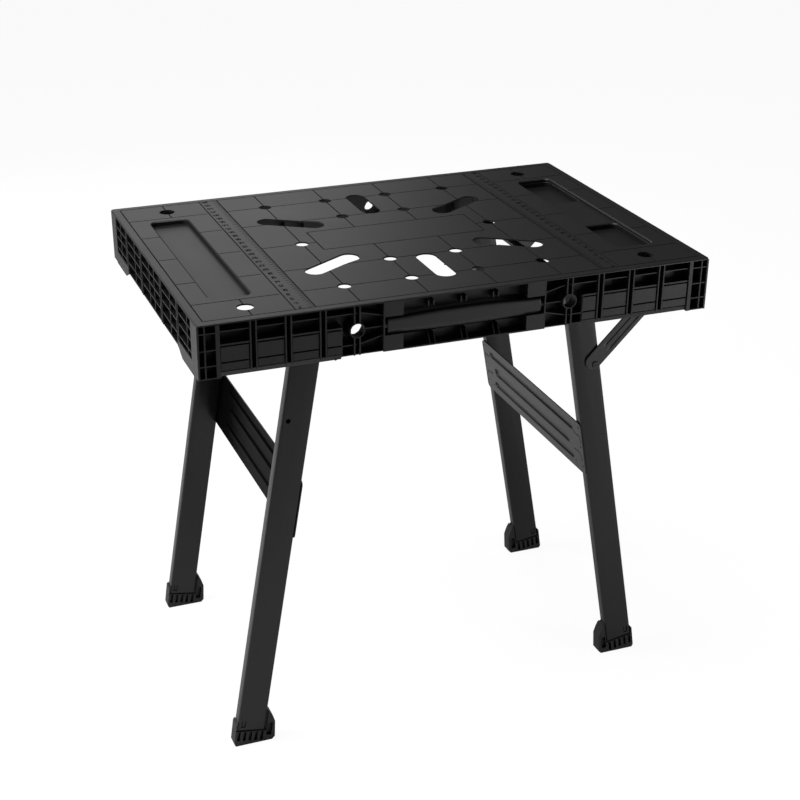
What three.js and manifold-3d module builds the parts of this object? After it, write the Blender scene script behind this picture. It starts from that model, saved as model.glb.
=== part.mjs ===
// Folding workbench: a ribbed moulded top on two leg pairs that fold flat beneath it.
// Millimetres, +Z up, X along the top, -Y the side with the carrying bar, origin on the floor under the middle.
import * as THREE from 'three';
import { mergeVertices } from 'three/addons/utils/BufferGeometryUtils.js';
import Module from 'manifold-3d';

const wasm = await Module();
wasm.setup();

// Overall sizes
const topLength = 850;
const topWidth = 600;
const benchHeight = 780;

// Deck plate
const deckThickness = 2.5;
const deckCornerRadius = 6;
const deckEdgeRound = 2;
const dogHoleDiameter = 20.5;
const dogColumnInner = 57;
const dogColumnOuter = 168;
const dogRowInner = 118;
const dogRowOuter = 214;
const cornerHoleDiameter = 26;
const cornerHoleEndInset = 89;
const cornerHoleSideInset = 52;
const slotWidth = 25;
const straightSlotLength = 98;
const straightSlotY = 174;
const slantSlotLength = 111;
const slantSlotX = 153;
const slantSlotY = 114;
const slantSlotAngle = THREE.MathUtils.degToRad(25.6);

// Trays sunk in the deck
const trayEndInset = 48;
const trayWidth = 65;
const trayLength = 400;
const trayRadius = 12;
const leftTrayDepth = 8;
const rightTrayDepth = 5;
const pocketDepth = 14.5;
const pocketLength = 132;
const trayWall = 3;

// Stiffening ribs under the deck
const deckRibDepth = 5;
const deckRibThickness = 2.6;
const middleCrossRibs = [30, 80];
const endCrossRibs = [216, 286];
const ribGuideGap = 17;
const longRibY = 52;
const sideRibInset = 4;
const sideRibGap = 20;

// Side walls (aprons)
const wallThickness = 3;
const ribThickness = 2.4;
const ribPairSpacing = 8.6;
const edgeLip = 0.6;
const apronDraft = 2.4;
const apronHeight = 88;
const ringZoneRaise = 5;
const wallSetback = 25;
const panelSetback = 3.6;
const grooveSetback = 7.2;
const padSetback = 2.2;
const padMargin = 2.2;
const padSideMargin = 1;
const bandHeight = 9;
const bandSlope = 5;
const ledgeNose = 3;
const shelfDrop = 15;
const shelfThickness = 2;
const ledgeDrop = 34.5;
const panelGrooveDrop = 64.5;
const cornerRibInset = 12.5;
const cornerShelfDrops = [15, 42, 67];
const postInset = 32;
const postWidth = 6.5;
const bayPitchAim = 55;
const ringOuterDiameter = 25;
const ringHoleDiameter = 21;
const ringFlare = 5;
const ringDrop = 42;
const ringZoneHalf = 24;
const bottomStepRun = 10.5;
const fanDropsAtRing = [15, 42, 66];
const fanDropsAtWall = [24.5, 42, 56.5];
const rearRingX = 54;

// Hand grip in the front wall
const gripWallX = 134.2;
const frontRingOffset = 42.8;
const gripDepth = 46;
const gripBlockWidth = 30;
const gripBlockHeight = 24;
const gripFloorThickness = 2.5;
const gripSkirtDrop = 27;
const gripSillDrop = 66;
const gripRibPitch = 54;
const gripRibSetback = 11;
const gripRibDrop = 22;
const gripNotchHeight = 10;
const gripNotchWidth = 14;
const handleEndGap = 4.5;
const handleThickness = 14;
const handleEndHeight = 21;
const handleMiddleHeight = 28;
const handleTaperStart = 98;
const handleTaperEnd = 66;
const handleDrop = 40;
const handleRound = 2;
const tenonDiameter = 11;

// End walls
const endApronHeight = 90;
const endRaise = 11;
const endLowReach = 100;
const endStepRun = 22;
const endWallSetback = 13;
const endStileWidth = 38;
const endPanelHeight = 23;
const endShelfDrops = [20.5, 38, 58];
const endRibPairs = [71, 179];
const endSingleRibs = [17, 125, 233];

// Legs
const legTilt = THREE.MathUtils.degToRad(9.65);
const legWidth = 48;
const legDepth = 20;
const legWall = 1.6;
const legCornerRadius = 3;
const legOverrun = 18;
const footEndInset = 65.3;
const pivotDrop = 61;
const leftPairInset = 53;
const rightPairInset = 91;
const tubeEndHeight = 27;

// Pivots and guides
const clearance = 0.3;
const axleDiameter = 14;
const bushWall = 1.4;
const bushFlange = 4;
const bushFlangeThickness = 2.4;
const guideThickness = 4;
const guideMargin = 10;
const rightGuideGap = 4;
const leftGuideGap = 8;
const guideNotchDepth = 20;
const guideNotchShift = 8;
const guideNotchMargin = 9;

// Struts
const strutAlongLeg = 141.4;
const strutOffLeg = 13.5;
const strutWidth = 29.3;
const strutThickness = 3;
const strutRivetPast = 1.8;
const strutRivetOffset = 6;
const strutPivotInset = 35.5;
const rivetDiameter = 8;
const rivetHeadDiameter = 12;
const rivetHeadThickness = 2;
const bracketThickness = 4;
const bracketWidth = 28;

// Brace between the legs of a pair
const braceTopHeight = 472;
const braceWidth = 100.5;
const braceThickness = 2;
const beadDepth = 3;
const beadWall = 2;
const braceBeads = [
  { drop: 19, width: 12, endMargin: 33 },
  { drop: 49.5, width: 19, endMargin: 48 },
  { drop: 79.5, width: 13, endMargin: 40 },
];
const braceCornerRadius = 8;

// Feet
const footDepth = 22;
const heelReach = 40;
const heelHeight = 60;
const heelBulge = 9;
const toeReach = 25.5;
const toeHeight = 45;
const toeProud = 3.4;
const soleChamfer = 5;
const plugLength = 24;
const footSlotCount = 5;
const footSlotPitch = 10;
const footSlotWidth = 4.8;
const footSlotLength = 17;
const footSlotDepth = 6;
const footSlotDrop = 3.6;
const heelSlotWidth = 9;
const heelSlotLength = 24;
const heelSlotOffset = 32;
const revealHeight = 2.6;
const revealDepth = 3;
const snapWidth = 8;
const snapHeight = 12;
const snapRise = 11;
const snapInset = 9.5;
const snapGap = 1.8;
const snapSunk = 0.6;

// Facets on round forms, and how flat the faces are that become one
const holeSides = 12;
const roundSides = 12;
const pinSides = 12;
const cornerSteps = 3;
const tubeCornerSteps = 2;
const plateSteps = 5;
const flatTolerance = 0.01;

// Finishes
const blackPlastic = new THREE.MeshStandardMaterial({ color: 0x232425, roughness: 0.62, metalness: 0 });
const gripPlastic = new THREE.MeshStandardMaterial({ color: 0x1d1e1f, roughness: 0.55, metalness: 0 });
const slidePlastic = new THREE.MeshStandardMaterial({ color: 0x2b2c2d, roughness: 0.45, metalness: 0 });
const paintedSteel = new THREE.MeshStandardMaterial({ color: 0x202122, roughness: 0.5, metalness: 0.2 });
const pressedSteel = new THREE.MeshStandardMaterial({ color: 0x2a2b2d, roughness: 0.45, metalness: 0.3 });
const plainSteel = new THREE.MeshStandardMaterial({ color: 0x4a4b4d, roughness: 0.4, metalness: 0.9 });
const footRubber = new THREE.MeshStandardMaterial({ color: 0x191a1b, roughness: 0.75, metalness: 0 });

// Places that follow from the sizes
const halfLength = topLength / 2;
const halfWidth = topWidth / 2;
const deckBottom = benchHeight - deckThickness;
const apronBottom = benchHeight - apronHeight;
const bandTop = apronBottom + bandHeight;
const ringZoneBottom = apronBottom + ringZoneRaise;
const wallOuter = halfWidth - wallSetback;
const wallInner = wallOuter - wallThickness;
const endWallOuter = halfLength - endWallSetback;
const endWallInner = endWallOuter - wallThickness;
const endLowInner = halfWidth - endLowReach;
const trayX = halfLength - trayEndInset - trayWidth / 2;
const postX = halfLength - postInset;
const frontRingX = gripWallX + frontRingOffset;
const pivotZ = benchHeight - pivotDrop;
const leftPairHalfWidth = halfWidth - leftPairInset;
const rightPairHalfWidth = halfWidth - rightPairInset;
const rightGuideFar = rightPairHalfWidth - legDepth - rightGuideGap;
const endCrossRibReach = rightGuideFar - guideThickness - ribGuideGap;
const sideRibY = endCrossRibReach - sideRibInset;
const floorAxisX = halfLength - footEndInset;
const pivotX = floorAxisX - pivotZ * Math.tan(legTilt);
const legAxis = new THREE.Vector2(Math.sin(legTilt), -Math.cos(legTilt));
const legAcross = new THREE.Vector2(Math.cos(legTilt), Math.sin(legTilt));
const strutPivot = new THREE.Vector2(halfLength - strutPivotInset, pivotZ - strutOffLeg);
const strutRivet = onLeg(strutAlongLeg, strutOffLeg);
const strutSpan = strutPivot.distanceTo(strutRivet);
const slideTravel = strutPivot.x - strutSpan + strutAlongLeg - pivotX;

// Point in the XZ plane of the right legs, from distances along and across the leg below its pivot
function onLeg(along, across) {
  const point = new THREE.Vector2(pivotX, pivotZ);
  return point.addScaledVector(legAxis, along).addScaledVector(legAcross, across);
}

// Closed geometry to a solid for adding and cutting
function solidOf(geometry) {
  geometry.deleteAttribute('normal');
  geometry.deleteAttribute('uv');
  const merged = mergeVertices(geometry, 1e-4);
  const vertProperties = new Float32Array(merged.attributes.position.array);
  const triVerts = new Uint32Array(merged.index.array);
  return new wasm.Manifold(new wasm.Mesh({ numProp: 3, vertProperties, triVerts }));
}

// Solid back to flat-shaded geometry, with its level faces joined up
function geometryOf(solid) {
  const mesh = solid.asOriginal().simplify(flatTolerance).getMesh();
  const geometry = new THREE.BufferGeometry();
  geometry.setAttribute('position', new THREE.BufferAttribute(new Float32Array(mesh.vertProperties), 3));
  geometry.setIndex(new THREE.BufferAttribute(new Uint32Array(mesh.triVerts), 1));
  const flat = geometry.toNonIndexed();
  flat.computeVertexNormals();
  return flat;
}

function joined(solids) {
  return solids.reduce((whole, piece) => whole.add(piece));
}

function cutBy(solid, cutters) {
  return cutters.reduce((rest, cutter) => rest.subtract(cutter), solid);
}

// Block between two opposite corners given as ranges on each axis
function block(xRange, yRange, zRange) {
  const size = [xRange, yRange, zRange].map(([a, b]) => Math.abs(b - a));
  const middle = [xRange, yRange, zRange].map(([a, b]) => (a + b) / 2);
  const geometry = new THREE.BoxGeometry(...size);
  geometry.translate(...middle);
  return solidOf(geometry);
}

function outline(points) {
  return new THREE.Shape(points.map(([a, b]) => new THREE.Vector2(a, b)));
}

const axisX = new THREE.Vector3(1, 0, 0);
const axisY = new THREE.Vector3(0, 1, 0);
const axisZ = new THREE.Vector3(0, 0, 1);
const backwards = new THREE.Vector3(0, -1, 0);

// A shape drawn as (y, z) and carried along X
function alongX(shape, from, to) {
  const depth = to - from;
  const geometry = new THREE.ExtrudeGeometry(shape, { depth, bevelEnabled: false, curveSegments: cornerSteps });
  geometry.applyMatrix4(new THREE.Matrix4().makeBasis(axisY, axisZ, axisX).setPosition(from, 0, 0));
  return geometry;
}

// A shape drawn as (x, z) and carried along Y
function alongY(shape, from, to, curveSegments = cornerSteps) {
  const geometry = new THREE.ExtrudeGeometry(shape, { depth: to - from, bevelEnabled: false, curveSegments });
  geometry.applyMatrix4(new THREE.Matrix4().makeBasis(axisX, axisZ, backwards).setPosition(0, to, 0));
  return geometry;
}

// A shape drawn as (x, z), with round holes, as a plate between two signed distances across the bench
function plateAcross(shape, one, other) {
  return alongY(shape, Math.min(one, other), Math.max(one, other), plateSteps);
}

// A shape drawn as (x, y) and carried along Z
function alongZ(shape, from, to, curveSegments = cornerSteps) {
  const geometry = new THREE.ExtrudeGeometry(shape, { depth: to - from, bevelEnabled: false, curveSegments });
  geometry.translate(0, 0, from);
  return geometry;
}

function roundedRectangle(width, height, radius) {
  const shape = new THREE.Shape();
  const x = width / 2 - radius;
  const y = height / 2 - radius;
  shape.absarc(x, y, radius, 0, Math.PI / 2);
  shape.absarc(-x, y, radius, Math.PI / 2, Math.PI);
  shape.absarc(-x, -y, radius, Math.PI, Math.PI * 1.5);
  shape.absarc(x, -y, radius, Math.PI * 1.5, Math.PI * 2);
  return shape;
}

// Slot outline with round ends, from its overall length
function roundEnded(length, width) {
  return roundedRectangle(length, width, width / 2 - 0.001);
}

// Upright cutter through the deck, from an outline in the plane of the deck
function deckCutter(shape, x, y, turn, floor = 0) {
  const geometry = alongZ(shape, 0, benchHeight);
  geometry.rotateZ(turn);
  geometry.translate(x, y, floor);
  return solidOf(geometry);
}

// Round cutter or pin along Y, which may flare out towards its far end
function rodY(diameter, x, z, from, to, sides = roundSides, flare = 0) {
  const geometry = new THREE.CylinderGeometry(diameter / 2 + flare, diameter / 2, to - from, sides);
  geometry.translate(0, (from + to) / 2, 0);
  geometry.rotateY(Math.PI / sides);
  geometry.translate(x, 0, z);
  return solidOf(geometry);
}

function mesh(name, geometry, material) {
  const piece = new THREE.Mesh(geometry, material);
  piece.name = name;
  return piece;
}

const bothSigns = [-1, 1];

// Deck plate with a rounded upper edge, sunk trays, ribs and its pattern of holes and slots
function deck() {
  const shape = roundedRectangle(
    topLength - 2 * deckEdgeRound,
    topWidth - 2 * deckEdgeRound,
    deckCornerRadius - deckEdgeRound,
  );
  const plate = new THREE.ExtrudeGeometry(shape, {
    depth: deckThickness,
    bevelThickness: deckEdgeRound,
    bevelSize: deckEdgeRound,
    bevelSegments: 2,
    curveSegments: cornerSteps,
  });
  plate.translate(0, 0, deckBottom - deckEdgeRound);
  const below = block([-topLength, topLength], [-topWidth, topWidth], [0, deckBottom]);
  const solids = [solidOf(plate).subtract(below), ...trayPans(), ...deckRibs()];
  return cutBy(joined(solids), [...trayHollows(), ...deckHoles()]);
}

// Places of the tray hollows: middle, length and depth of each
function trayPlaces() {
  const pocketY = (trayLength - pocketLength) / 2;
  return [
    { x: -trayX, y: 0, length: trayLength, depth: leftTrayDepth },
    { x: trayX, y: 0, length: trayLength, depth: rightTrayDepth },
    { x: trayX, y: pocketY, length: pocketLength, depth: pocketDepth },
    { x: trayX, y: -pocketY, length: pocketLength, depth: pocketDepth },
  ];
}

function trayPans() {
  return trayPlaces().map(({ x, y, length, depth }) => {
    const shape = roundedRectangle(trayWidth + 2 * trayWall, length + 2 * trayWall, trayRadius + trayWall);
    const geometry = alongZ(shape, benchHeight - depth - trayWall, benchHeight - deckThickness / 2);
    return solidOf(geometry.translate(x, y, 0));
  });
}

function trayHollows() {
  return trayPlaces().map(({ x, y, length, depth }) => {
    return deckCutter(roundedRectangle(trayWidth, length, trayRadius), x, y, 0, benchHeight - depth);
  });
}

function deckRibs() {
  const heights = [deckBottom - deckRibDepth, deckBottom + deckThickness / 2];
  const half = deckRibThickness / 2;
  const gripInner = halfWidth - gripDepth - wallThickness;
  const trayInner = trayX - trayWidth / 2;
  const ribs = [];
  for (const side of bothSigns) {
    for (const x of middleCrossRibs) {
      ribs.push(block([side * x - half, side * x + half], [-gripInner, wallInner], heights));
    }
    for (const x of endCrossRibs) {
      ribs.push(block([side * x - half, side * x + half], [-endCrossRibReach, endCrossRibReach], heights));
    }
    ribs.push(block([-trayInner, trayInner], [side * longRibY - half, side * longRibY + half], heights));
    for (const end of bothSigns) {
      const run = [end * sideRibGap, end * endCrossRibs[1]];
      ribs.push(block(run, [side * sideRibY - half, side * sideRibY + half], heights));
    }
  }
  return ribs;
}

function deckHoles() {
  const hole = (diameter, x, y) => {
    const rod = new THREE.CylinderGeometry(diameter / 2, diameter / 2, benchHeight, holeSides);
    rod.rotateX(Math.PI / 2);
    rod.translate(x, y, benchHeight);
    return solidOf(rod);
  };
  const straightSlot = roundEnded(straightSlotLength, slotWidth);
  const slantSlot = roundEnded(slantSlotLength, slotWidth);
  const cutters = [];
  for (const side of bothSigns) {
    cutters.push(hole(dogHoleDiameter, side * dogColumnOuter, 0));
    cutters.push(deckCutter(straightSlot, 0, side * straightSlotY, Math.PI / 2, deckBottom / 2));
    for (const end of bothSigns) {
      cutters.push(hole(dogHoleDiameter, end * dogColumnOuter, side * dogRowOuter));
      cutters.push(hole(dogHoleDiameter, end * dogColumnInner, side * dogRowOuter));
      cutters.push(hole(dogHoleDiameter, end * dogColumnInner, side * dogRowInner));
      const cornerX = halfLength - cornerHoleEndInset;
      const cornerY = halfWidth - cornerHoleSideInset;
      cutters.push(hole(cornerHoleDiameter, end * cornerX, side * cornerY));
      const turn = side * end * slantSlotAngle;
      cutters.push(deckCutter(slantSlot, end * slantSlotX, side * slantSlotY, turn, deckBottom / 2));
    }
  }
  return cutters;
}

// Distance of a long wall's face from the middle of the bench at a height: it leans in towards the bottom
function faceOut(z) {
  return halfWidth - edgeLip - apronDraft * (deckBottom - z) / apronHeight;
}

// Point on a long wall's face, or behind it by a setback, drawn as (outward, z)
function onFace(z, setback) {
  return [faceOut(z) - setback, z];
}

// A shape drawn as (outward, z) and carried along the front wall
function alongFront(shape, from, to) {
  const geometry = new THREE.ExtrudeGeometry(shape, { depth: Math.abs(to - from), bevelEnabled: false });
  const basis = new THREE.Matrix4().makeBasis(backwards, axisZ, axisX.clone().negate());
  geometry.applyMatrix4(basis.setPosition(Math.max(from, to), 0, 0));
  return solidOf(geometry);
}

// Upright rib across a long wall, from inside the wall to its face less a setback
function crossRib(x, thickness, zFrom, zTo, setback = 0, back = wallOuter - wallThickness / 2) {
  const shape = outline([[back, zFrom], onFace(zFrom, setback), onFace(zTo, setback), [back, zTo]]);
  return alongFront(shape, x - thickness / 2, x + thickness / 2);
}

// Outline of a bay: wall with a shelf above, a ledge with a nose, a sunk panel and a sloping band along the bottom
function bayProfile() {
  const shelfTop = benchHeight - shelfDrop + shelfThickness / 2;
  const shelfUnder = shelfTop - shelfThickness;
  const ledge = benchHeight - ledgeDrop;
  const panelBack = grooveSetback + wallThickness;
  return outline([
    [wallOuter, deckBottom],
    [wallOuter, shelfTop],
    onFace(shelfTop, panelSetback),
    onFace(shelfUnder, panelSetback),
    [wallOuter, shelfUnder],
    [wallOuter, ledge],
    onFace(ledge, padSetback),
    onFace(ledge - ledgeNose, padSetback),
    onFace(ledge - ledgeNose, grooveSetback),
    onFace(bandTop, grooveSetback),
    onFace(bandTop, padSetback),
    onFace(apronBottom, padSetback + bandSlope),
    onFace(apronBottom, panelBack),
    onFace(ledge - wallThickness, panelBack),
    [wallInner, ledge - wallThickness],
    [wallInner, deckBottom],
  ]);
}

// Outline of the sloping band where it crosses the gap of a rib pair
function bandProfile() {
  const back = wallOuter - wallThickness / 2;
  return outline([
    [back, apronBottom],
    onFace(apronBottom, padSetback + bandSlope),
    onFace(bandTop, padSetback),
    [back, bandTop],
  ]);
}

// Two raised pads on the sunk panel of a bay, with a groove all round each
function bayPads(from, to) {
  const divide = benchHeight - panelGrooveDrop;
  const heights = [
    [divide + padMargin / 2, benchHeight - ledgeDrop - ledgeNose - padMargin],
    [bandTop + padMargin / 2, divide - padMargin / 2],
  ];
  const sunk = grooveSetback + wallThickness / 2;
  return heights.map(([low, high]) => {
    const front = [onFace(low, padSetback), onFace(high, padSetback)];
    return alongFront(outline([onFace(low, sunk), ...front, onFace(high, sunk)]), from, to);
  });
}

// Outline of a plain wall with level shelves standing out from it, listed from the top down
function shelvedProfile(bottom, shelfHeights, setback) {
  const points = [[wallInner, bottom], [wallInner, deckBottom], [wallOuter, deckBottom]];
  for (const z of shelfHeights) {
    const high = z + shelfThickness / 2;
    const low = z - shelfThickness / 2;
    points.push([wallOuter, high], onFace(high, setback), onFace(low, setback), [wallOuter, low]);
  }
  return outline(points);
}

// Ring in a long wall, with its pair of upright ribs
function ring(x) {
  const z = benchHeight - ringDrop;
  const collar = rodY(ringOuterDiameter, x, z, -faceOut(z), -wallInner, roundSides, ringFlare);
  const ribs = bothSigns.map((side) => {
    return crossRib(x + side * ribPairSpacing / 2, ribThickness, ringZoneBottom, deckBottom, 1);
  });
  return [collar, ...ribs];
}

function ringHole(x) {
  return rodY(ringHoleDiameter, x, benchHeight - ringDrop, -halfWidth, 1 - wallInner, roundSides, ringFlare);
}

// Three ribs that fan out from a plain upright to the ring's ribs
function fan(ringX, wallX) {
  const ringSide = ringX + Math.sign(wallX - ringX) * ribPairSpacing / 2;
  const half = shelfThickness / 2;
  const face = faceOut(apronBottom) - panelSetback;
  return fanDropsAtRing.map((dropAtRing, i) => {
    const zRing = benchHeight - dropAtRing;
    const zWall = benchHeight - fanDropsAtWall[i];
    const shape = outline([
      [ringSide, zRing - half],
      [ringSide, zRing + half],
      [wallX, zWall + half],
      [wallX, zWall - half],
    ]);
    return solidOf(alongY(shape, -face, -wallInner));
  });
}

// Plain zone round a ring: shelves on its outer side, a floor flange and a sloping step up from the bays
function ringZone(ringX, innerX, outerX) {
  const outward = Math.sign(outerX - ringX);
  const stepX = outerX + outward * bottomStepRun;
  const ledge = benchHeight - ledgeDrop;
  const flange = ringZoneBottom + shelfThickness / 2;
  const shelves = [benchHeight - shelfDrop, benchHeight - fanDropsAtRing[2], flange];
  const step = outline([
    [outerX, ringZoneBottom],
    [outerX, ringZoneBottom + ringZoneRaise],
    [stepX, ringZoneBottom + ringZoneRaise],
    [stepX, apronBottom],
  ]);
  return [
    alongFront(shelvedProfile(ringZoneBottom, [flange], panelSetback), innerX, ringX),
    alongFront(shelvedProfile(ringZoneBottom, shelves, panelSetback), ringX, outerX),
    crossRib(outerX, ribThickness, ringZoneBottom, ledge, panelSetback, wallInner),
    solidOf(alongY(step, panelSetback - faceOut(apronBottom), -wallInner)),
  ];
}

// Half of a long wall, from a place near the middle to the corner
function longWallHalf(side, ringX, innerX) {
  const zoneEnd = ringX + ringZoneHalf;
  const bays = Math.max(1, Math.round((postX - ringX) / bayPitchAim));
  const pitch = (postX - ringX) / bays;
  const solids = [...ringZone(side * ringX, side * innerX, side * zoneEnd), ...ring(side * ringX)];
  const halfPair = ribPairSpacing / 2;
  const margin = ribThickness / 2 + padSideMargin;
  for (let i = 1; i <= bays; i += 1) {
    const place = ringX + i * pitch;
    const from = i === 1 ? zoneEnd : place - pitch + halfPair;
    const padFrom = i === 1 ? zoneEnd : from + margin;
    const to = i === bays ? postX : place - halfPair;
    const padEnd = i === bays ? postX - postWidth / 2 - padSideMargin : to - margin;
    solids.push(alongFront(bayProfile(), side * from, side * to), ...bayPads(side * padFrom, side * padEnd));
    if (i < bays) {
      const gap = [side * (place - halfPair), side * (place + halfPair)];
      const ribs = gap.map((x) => crossRib(x, ribThickness, bandTop - shelfThickness, deckBottom));
      const wall = block(gap, [-wallOuter, -wallInner], [apronBottom, deckBottom]);
      solids.push(...ribs, wall, alongFront(bandProfile(), ...gap));
    }
  }
  return [...solids, ...corner(side)];
}

// Corner cells at the end of a long wall: post, thin rib, shelves and the flush corner stile
function corner(side) {
  const stileX = side * (halfLength - edgeLip - wallThickness / 2);
  const flange = apronBottom + shelfThickness / 2;
  const shelves = [...cornerShelfDrops.map((drop) => benchHeight - drop), flange];
  return [
    crossRib(side * postX, postWidth, apronBottom, deckBottom, 0, wallInner),
    crossRib(side * (halfLength - cornerRibInset), ribThickness, apronBottom, deckBottom, 1),
    crossRib(stileX, wallThickness, apronBottom, deckBottom, 0, wallInner),
    alongFront(shelvedProfile(apronBottom, shelves, 1), side * postX, stileX),
  ];
}

function frontApron(side) {
  const wallX = side * gripWallX;
  const sideWall = crossRib(wallX, ribThickness, ringZoneBottom, deckBottom, 0, halfWidth - gripDepth);
  const solids = [...longWallHalf(side, frontRingX, gripWallX), ...fan(side * frontRingX, wallX), sideWall];
  return joined(solids).subtract(ringHole(side * frontRingX));
}

function rearApron() {
  const solids = bothSigns.flatMap((side) => {
    return [...longWallHalf(side, rearRingX, 0), ...fan(side * rearRingX, 0)];
  });
  solids.push(crossRib(0, ribThickness, ringZoneBottom, deckBottom));
  return cutBy(joined(solids), bothSigns.map((side) => ringHole(side * rearRingX)));
}

// Pocket for the hand: back wall, floor, four corner blocks, and a skirt above and a sill below with paired ribs
function handleRecess() {
  const reach = gripWallX - ribThickness / 2;
  const back = halfWidth - gripDepth;
  const floorTop = ringZoneBottom + gripFloorThickness;
  const skirtBottom = benchHeight - gripSkirtDrop;
  const sillTop = benchHeight - gripSillDrop;
  const notchBottom = deckBottom - gripNotchHeight;
  const strip = [-wallOuter, -wallInner];
  const solids = [
    block([-reach, reach], [-back, wallThickness - back], [ringZoneBottom, deckBottom]),
    block([-reach, reach], strip, [skirtBottom, deckBottom]),
    block([-reach, reach], strip, [ringZoneBottom, sillTop]),
    crossRib(0, 2 * reach, ringZoneBottom, floorTop, 0, back),
  ];
  for (const side of bothSigns) {
    const blockX = side * (reach - gripBlockWidth / 2);
    const heights = [[ringZoneBottom, floorTop + gripBlockHeight], [deckBottom - gripBlockHeight, deckBottom]];
    for (const [low, high] of heights) {
      solids.push(crossRib(blockX, gripBlockWidth, low, high, 0, back));
    }
  }
  const cutters = bothSigns.map((side) => tenon(side, tenonDiameter + 2 * clearance));
  for (const place of [-gripRibPitch, 0, gripRibPitch]) {
    const notch = [place - gripNotchWidth / 2, place + gripNotchWidth / 2];
    cutters.push(block(notch, [-halfWidth, 1 - wallInner], [notchBottom, benchHeight]));
    for (const part of bothSigns) {
      const x = place + part * ribPairSpacing / 2;
      const skirtRib = crossRib(x, ribThickness, benchHeight - gripRibDrop, notchBottom, gripRibSetback);
      solids.push(skirtRib, sillRib(x, floorTop, sillTop));
    }
  }
  return cutBy(joined(solids), cutters);
}

// Rib on the sill of the hand grip, whose front edge slopes from the floor's edge up to the top of the sill
function sillRib(x, floorTop, sillTop) {
  const back = wallOuter - wallThickness / 2;
  const shape = outline([
    [back, ringZoneBottom],
    onFace(ringZoneBottom, 1),
    onFace(floorTop, 1),
    onFace(sillTop, gripRibSetback),
    [back, sillTop],
  ]);
  return alongFront(shape, x - ribThickness / 2, x + ribThickness / 2);
}

// Round tenon at an end of the carrying bar
function tenon(side, diameter) {
  const from = gripWallX - ribThickness / 2 - handleEndGap - handleRound;
  const length = handleEndGap + handleRound - clearance;
  const rod = new THREE.CylinderGeometry(diameter / 2, diameter / 2, length, roundSides);
  rod.rotateZ(Math.PI / 2);
  const middleY = faceOut(deckBottom) - handleThickness / 2 - apronDraft;
  rod.translate(side * (from + length / 2), -middleY, benchHeight - handleDrop);
  return solidOf(rod);
}

// Carrying bar: bowed outline with soft edges, on two tenons
function handle() {
  const half = gripWallX - ribThickness / 2 - handleEndGap - handleRound;
  const endUp = handleEndHeight / 2 - handleRound;
  const middleUp = handleMiddleHeight / 2 - handleRound;
  const shape = new THREE.Shape();
  shape.moveTo(-half, -endUp);
  shape.lineTo(-handleTaperStart, -endUp);
  shape.lineTo(-handleTaperEnd, -middleUp);
  shape.lineTo(handleTaperEnd, -middleUp);
  shape.lineTo(handleTaperStart, -endUp);
  shape.lineTo(half, -endUp);
  shape.lineTo(half, endUp);
  shape.lineTo(handleTaperStart, endUp);
  shape.quadraticCurveTo((handleTaperStart + handleTaperEnd) / 2, middleUp, handleTaperEnd, middleUp);
  shape.lineTo(-handleTaperEnd, middleUp);
  shape.quadraticCurveTo(-(handleTaperStart + handleTaperEnd) / 2, middleUp, -handleTaperStart, endUp);
  shape.lineTo(-half, endUp);
  const bar = new THREE.ExtrudeGeometry(shape, {
    depth: handleThickness - 2 * handleRound,
    bevelThickness: handleRound,
    bevelSize: handleRound,
    bevelSegments: 2,
    curveSegments: cornerSteps,
  });
  const front = faceOut(deckBottom) - apronDraft - handleRound;
  bar.applyMatrix4(new THREE.Matrix4().makeBasis(axisX, axisZ, backwards));
  bar.translate(0, handleThickness - 2 * handleRound - front, benchHeight - handleDrop);
  return joined([solidOf(bar), ...bothSigns.map((side) => tenon(side, tenonDiameter))]);
}

// End wall at +X: back plate raised in the middle, level shelves, single and paired uprights, flush stiles
function endApron() {
  const bottom = benchHeight - endApronHeight;
  const raised = bottom + endRaise;
  const face = halfLength - edgeLip;
  const stileInner = halfWidth - endStileWidth;
  const upright = (y, thickness, front) => {
    return block([endWallOuter - 1, front], [y - thickness / 2, y + thickness / 2], [bottom, deckBottom]);
  };
  const shelves = [...endShelfDrops.map((drop) => benchHeight - drop), raised + shelfThickness / 2];
  const points = [[endWallInner, bottom], [endWallInner, deckBottom], [endWallOuter, deckBottom]];
  for (const z of shelves) {
    const high = z + shelfThickness / 2;
    const low = z - shelfThickness / 2;
    points.push([endWallOuter, high], [face - 1, high], [face - 1, low], [endWallOuter, low]);
  }
  points.push([endWallOuter, bottom]);
  const solids = [solidOf(alongY(outline(points), -wallInner, wallInner))];
  for (const side of bothSigns) {
    const stile = [side * stileInner, side * wallInner];
    solids.push(block([face - wallThickness, face], stile, [bottom, deckBottom]));
    const panel = [side * (endLowInner - endStepRun), side * stileInner];
    solids.push(block([face - wallThickness, face], panel, [bottom, bottom + endPanelHeight]));
    solids.push(upright(side * (stileInner + ribThickness / 2), ribThickness, face - wallThickness / 2));
    for (const place of endRibPairs) {
      for (const part of bothSigns) {
        solids.push(upright(side * place + part * ribPairSpacing / 2, ribThickness, face));
      }
    }
    for (const place of endSingleRibs) {
      solids.push(upright(side * place, ribThickness, face - 2));
    }
  }
  return cutBy(joined(solids), [endArch(bottom, raised), ...bossGaps()]);
}

// Cutter for the raised middle of an end wall's lower edge
function endArch(bottom, raised) {
  const high = endLowInner - endStepRun;
  const shape = outline([
    [-endLowInner, bottom],
    [-high, raised],
    [high, raised],
    [endLowInner, bottom],
    [endLowInner, 0],
    [-endLowInner, 0],
  ]);
  return solidOf(alongX(shape, endWallInner - 1, halfLength));
}

// Gaps in the middle shelf of an end wall between its paired uprights
function bossGaps() {
  const z = benchHeight - endShelfDrops[1];
  const half = (ribPairSpacing - ribThickness) / 2;
  return bothSigns.flatMap((side) => {
    return endRibPairs.map((place) => {
      const y = side * place;
      return block([endWallOuter, halfLength], [y - half, y + half], [z - shelfThickness, z + shelfThickness]);
    });
  });
}

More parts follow.
